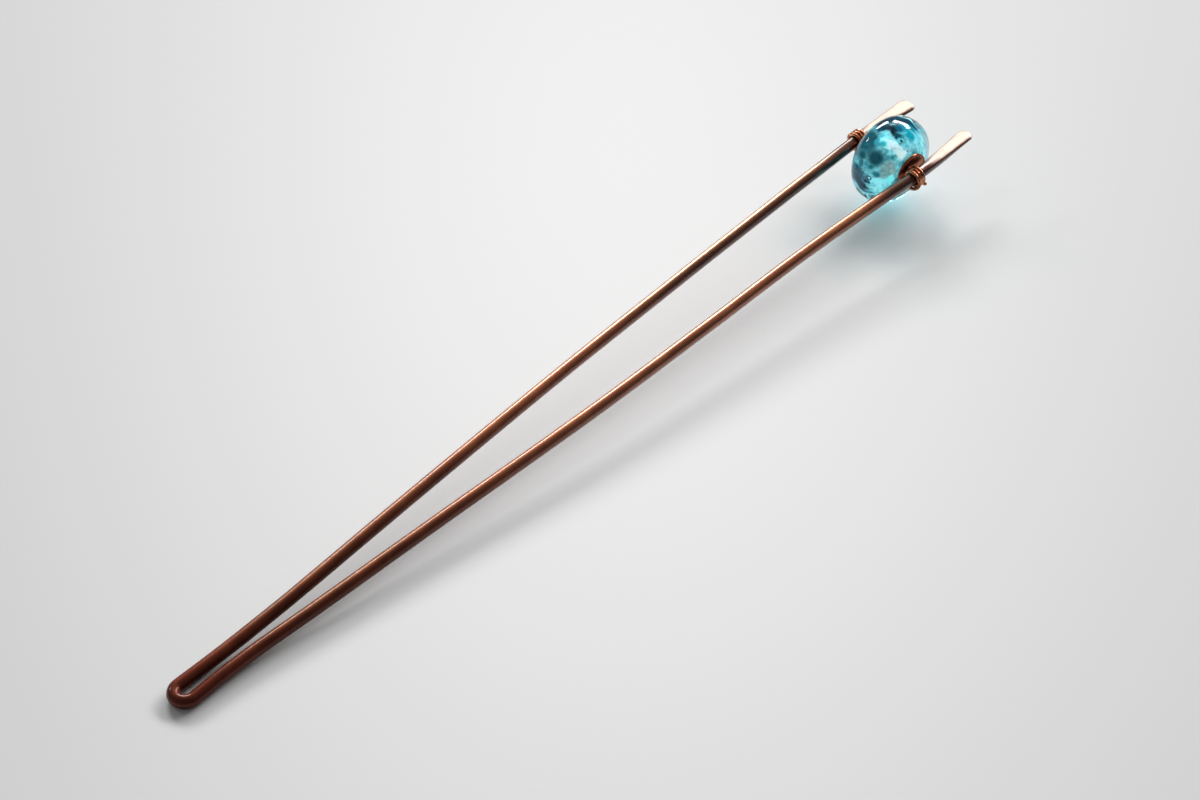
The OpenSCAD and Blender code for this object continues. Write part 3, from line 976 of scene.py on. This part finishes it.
def capProfile():
    # domed sheet from the hole out to the rolled rim, round the rim, and back underneath
    rimMid = cap["radius"] - cap["rim"]
    rimHeight = beadFace(rimMid) + cap["rim"] + cap["gap"]

    def dome(rimAngle):
        # a parabola from the hole to where the rim is met
        end = rimMid + cap["rim"] * math.cos(math.radians(rimAngle))
        r = np.linspace(cap["hole"], end, cap["domeStops"])
        foot = rimHeight + cap["domeFoot"] * cap["rim"]
        return r, foot + cap["rise"] * (1 - (r / rimMid) ** 2)

    aboveR, aboveZ = dome(cap["rimFrom"])
    belowR, belowZ = dome(cap["rimTo"])
    a = np.radians(np.arange(cap["rimFrom"] - 10, cap["rimTo"] + 5, -10))
    rimR, rimZ = rimMid + cap["rim"] * np.cos(a), rimHeight + cap["rim"] * np.sin(a)
    r = np.concatenate([aboveR, rimR, belowR[::-1]])
    z = np.concatenate([aboveZ, rimZ, belowZ[::-1] - cap["thickness"]])
    return r[::-1], z[::-1]


r, along = capProfile()
turnedRing(
    "beadCapBack", r, along, cap["sides"], antiqueCopper, ["bead_cap_back"], "cap_copper",
    sharp=60,
)
turnedRing(
    "beadCapFront", r, along, cap["sides"], antiqueCopper, ["bead_cap_front"], "cap_copper",
    shift=cap["frontShift"], mirrored=-1, sharp=60,
)


# binding wire: through the bead's hole, and three times round each prong

binding = {
    "wire": 0.6,
    "pitch": 0.68,
    "clearance": 0.015,  # between the thin wire and the prong
    "firstFront": 151.6,  # where the first turns stand, from the fold
    "firstBack": 154.9,
    "slack": 0.2,  # how far every turn sags away from the prong, most at this angle
    "slackAngle": 150,
    "slackPower": 1.5,
    "frontSlack": 0.42,  # how loosely the first turn begins, until it is tight between these angles
    "backSlack": 0.12,
    "tightFrom": 170,
    "tightBy": 240,
    "turnStart": 110,  # degrees round the prong
    "turnEnd": 1220,
    "turnStops": 51,
    "tailLift": 0.6,
    "tailAngle": 50,
    "nip": 0.25,  # how much narrower the cut ends are
    "sides": 16,
    "smoothing": 5,  # rings to each stretch of the route
    "inHole": np.array([0.01, 1.5, 3, 4.2, 4.85]),  # from the bead's middle
    # from the cap's hole to the first turn: along the fork from that turn, inwards from the prong, height
    "leadFront": np.array([[2.2, 1.25, -1.6], [1.2, 0.95, -1.9], [0.3, 0.6, -1.95], [-0.2, 0.3, -1.75]]),
    "leadBack": np.array([[0.2, 1.25, -1.25], [0.25, 0.6, -1.55]]),
}


def halfRoute(side):
    # along the hole, under the prong, then a helix round it whose radius is the two wires' and the gap,
    # with the slack on top, and a tail that lifts with the square of the way along it
    way = 1 if side == frontSide else -1
    first = binding["firstFront" if side == frontSide else "firstBack"]
    lead = binding["leadFront" if side == frontSide else "leadBack"]
    turn = math.radians(fork["beadTurn"])
    d = binding["inHole"]
    hole = np.stack([
        fork["beadAt"] - way * d * math.sin(turn),
        fork["beadMidY"] - way * d * math.cos(turn),
        np.full(len(d), -fork["beadDrop"]),
    ], -1)
    midY = legY(np.array([first]), side)[0]
    down = np.stack([first + lead[:, 0], midY + way * lead[:, 1], lead[:, 2]], -1)
    a = np.linspace(binding["turnStart"], binding["turnEnd"], binding["turnStops"])
    nearEnd = np.clip((a - binding["turnEnd"]) / binding["tailAngle"] + 1, 0, None)
    looseFirst = binding["frontSlack" if side == frontSide else "backSlack"]
    loose = np.clip((binding["tightBy"] - a) / (binding["tightBy"] - binding["tightFrom"]), 0, 1)
    firstSlack = looseFirst * loose
    sagging = np.cos(np.radians(a - binding["slackAngle"])).clip(0)
    sag = binding["slack"] * sagging ** binding["slackPower"]
    r = (fork["wire"] + binding["wire"]) / 2 + binding["clearance"] + np.maximum(firstSlack, sag)
    r = r + binding["tailLift"] * nearEnd**2
    u = first + way * binding["pitch"] * (a - 180) / 360
    turns = np.stack([
        u,
        legY(u, side) + way * r * np.cos(np.radians(a)),
        -r * np.sin(np.radians(a)),
    ], -1)
    return np.concatenate([hole, down, turns])


def smoothThrough(p, steps):
    # a smooth cubic through the points, with steps to each stretch: each point's slope is half of the way
    # from the point before to the point after
    a, b = np.vstack([p[:1], p[:-1]])[:-1], p[:-1]
    c, d = p[1:], np.vstack([p[2:], p[-1:]])
    k = (np.arange(steps) / steps)[None, :, None]
    a, b, c, d = (v[:, None] for v in (a, b, c, d))
    bend, turn = a - 2.5 * b + 2 * c - d / 2, 1.5 * (b - c) + (d - a) / 2
    curve = b + k * (c - a) / 2 + k**2 * bend + k**3 * turn
    return np.vstack([curve.reshape(-1, 3), p[-1:]])


def makeBindingWire():
    # a round tube along the smoothed route, from the front prong's tail to the back one's
    sides = binding["sides"]
    route = np.concatenate([halfRoute(frontSide)[::-1], halfRoute(backSide)])
    path = smoothThrough(route, binding["smoothing"])
    ahead = np.gradient(path, axis=0)
    ahead = ahead / np.linalg.norm(ahead, axis=1, keepdims=True)
    # the side direction is carried from point to point without twist: what it has along the wire goes
    side = np.zeros_like(path)
    side[0] = np.cross(ahead[0], [0.3, 0.2, 1])
    side[0] /= np.linalg.norm(side[0])
    for i in range(1, len(path)):
        v = side[i - 1] - np.dot(side[i - 1], ahead[i]) * ahead[i]
        side[i] = v / np.linalg.norm(v)
    other = np.cross(ahead, side)
    angle = 2 * np.pi * np.arange(sides) / sides
    # the cut ends are nipped a little narrower
    steps = np.arange(len(path))
    nip = 1 - binding["nip"] * np.clip(1 - np.minimum(steps, steps[::-1]) / 2, 0, 1)
    radius = binding["wire"] / 2 * nip[:, None, None]
    points = path[:, None] + radius * (
        np.cos(angle)[None, :, None] * side[:, None] + np.sin(angle)[None, :, None] * other[:, None]
    )
    return makePiece(
        "bindingWire", layDown(points).reshape(-1, 3), tubeFaces(len(path), sides),
        brightCopper, ["binding_wire"], "binding_copper", sharp=50,
    )


makeBindingWire()

print("all pieces made")
